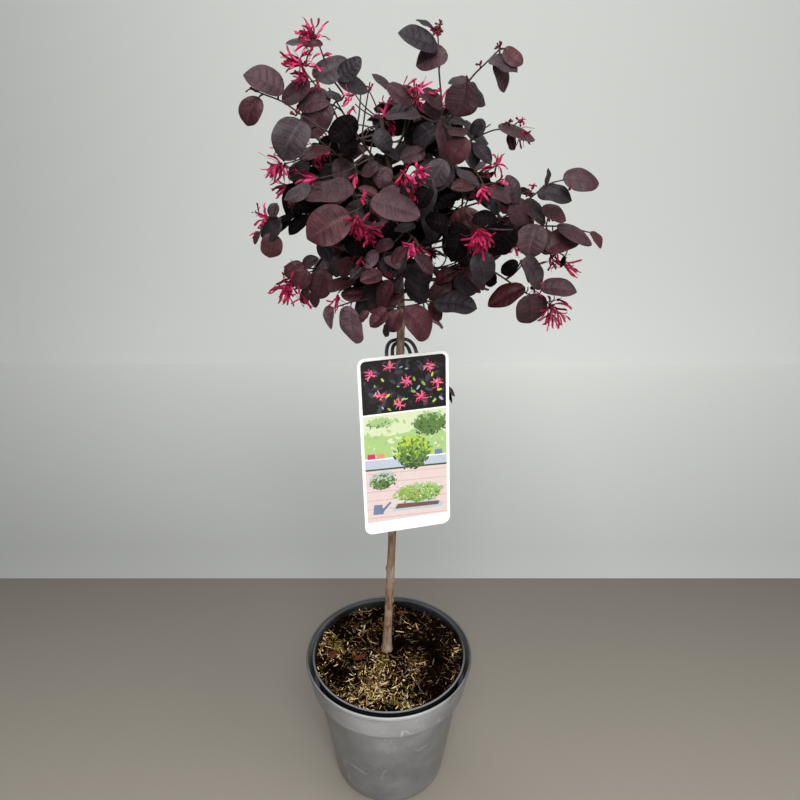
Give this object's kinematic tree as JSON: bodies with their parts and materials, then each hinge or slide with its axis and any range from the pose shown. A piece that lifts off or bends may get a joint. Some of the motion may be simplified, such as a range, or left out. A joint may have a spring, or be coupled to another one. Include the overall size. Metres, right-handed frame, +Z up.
{
  "type": "potted chinese fringe flower",
  "caption": "Small standard tree with an open round crown of dark purple leaves and pink fringe blossom on a slim stem, in a round tapered grey pot, with a picture tag on a clip.",
  "frame": {"origin": "centre of the outer pot's flat underside, on the pot's axis", "axes": "+Z up from the pot's underside along the stem, the hang tag and the front of the crown face -Y, +X to the right seen from the front"},
  "size_m": [0.3175, 0.2481, 0.8911],
  "materials": {
    "outer_pot": "mid grey moulded plastic, satin, scuffed",
    "grower_pot": "thin black plastic with a slight gloss",
    "soil": "dark moist peat with tan fibres and bark chips",
    "bark": "grey-brown young bark, paler olive on the twigs",
    "foliage": "dark purple leaves with a soft sheen, wine red to plum",
    "tag_card": null,
    "tag_clip": "black moulded plastic"
  },
  "bodies": {
    "root": {"outer_pot": "outer_pot", "grower_pot": "grower_pot", "soil": "soil", "trunk": "bark", "bough_top_left": "bark", "bough_left_high": "bark", "bough_left_mid": "bark", "bough_left_wing": "bark", "bough_left_low": "bark", "bough_front_low": "bark", "bough_right_foot": "bark", "bough_right_low": "bark", "bough_right_mid": "bark", "bough_right_wing": "bark", "bough_right_inner": "bark", "bough_right_high": "bark", "bough_top_right": "bark", "bough_top_centre": "bark", "bough_front_mid": "bark", "bough_front_right": "bark", "bough_front_left": "bark", "bough_back_left": "bark", "bough_back_mid": "bark", "bough_back_right": "bark", "bough_back_low": "bark", "leaves_top_left": "foliage", "leaves_left_high": "foliage", "leaves_left_mid": "foliage", "leaves_left_wing": "foliage", "leaves_left_low": "foliage", "leaves_front_low": "foliage", "leaves_right_foot": "foliage", "leaves_right_low": "foliage", "leaves_right_mid": "foliage", "leaves_right_wing": "foliage", "leaves_right_inner": "foliage", "leaves_right_high": "foliage", "leaves_top_right": "foliage", "leaves_top_centre": "foliage", "leaves_crown_top": "foliage", "leaves_front_mid": "foliage", "leaves_front_right": "foliage", "leaves_front_left": "foliage", "leaves_back_left": "foliage", "leaves_back_mid": "foliage", "leaves_back_right": "foliage", "leaves_back_low": "foliage", "hang_tag": "tag_card", "tag_clip": "tag_clip"}
  },
  "joints": []
}
